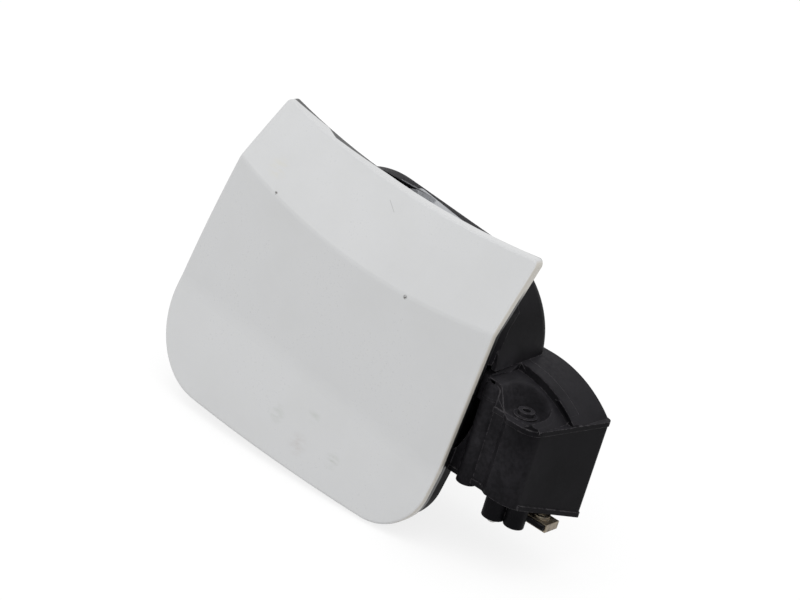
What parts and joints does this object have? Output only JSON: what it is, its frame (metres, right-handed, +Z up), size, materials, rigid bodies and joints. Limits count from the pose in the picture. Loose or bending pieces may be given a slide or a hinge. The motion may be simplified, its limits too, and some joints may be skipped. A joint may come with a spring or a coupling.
{
  "type": "car fuel door",
  "caption": "Painted fuel filler flap with a curved ridge, on a sprung gooseneck hinge, closed over a black moulded filler housing with hinge pocket, neck seal and drain.",
  "frame": {"origin": "centre of the neck seal bore, at the inner face of the pot floor", "axes": "+X from the free edge to the hinge, +Y into the car along the neck axis, +Z up along the hinge pin"},
  "size_m": [0.2265, 0.072, 0.1588],
  "materials": {
    "white_paint": "glossy body paint with scuffs",
    "black_plastic": "satin, scuffed",
    "grey_plastic": "satin",
    "rubber": "matte",
    "yellow_zinc": "yellow zinc plated",
    "steel": "plain"
  },
  "bodies": {
    "housing": {"housing": "black_plastic", "neck_seal": "rubber", "lock_guide": "grey_plastic", "lock_seal": "rubber", "flap_buffers": "rubber", "open_stop": "rubber", "spring_nuts": "yellow_zinc", "hinge_pin": "steel", "pin_retainer": "steel", "hinge_spring": "steel"},
    "flap": {"outer_skin": "white_paint", "hinge_arm": "black_plastic", "hinge_bushes": "grey_plastic", "skin_retainers": "steel", "lock_striker": "grey_plastic", "striker_screws": "steel", "cap_holder": "black_plastic", "holder_screws": "steel"}
  },
  "joints": [
    {"name": "flap_hinge", "type": "hinge", "parent": "housing", "child": "flap", "pos_m": [0.097, -0.037, -0.02574], "axis": [0, 0, 1], "range_deg": [0, 90]}
  ]
}
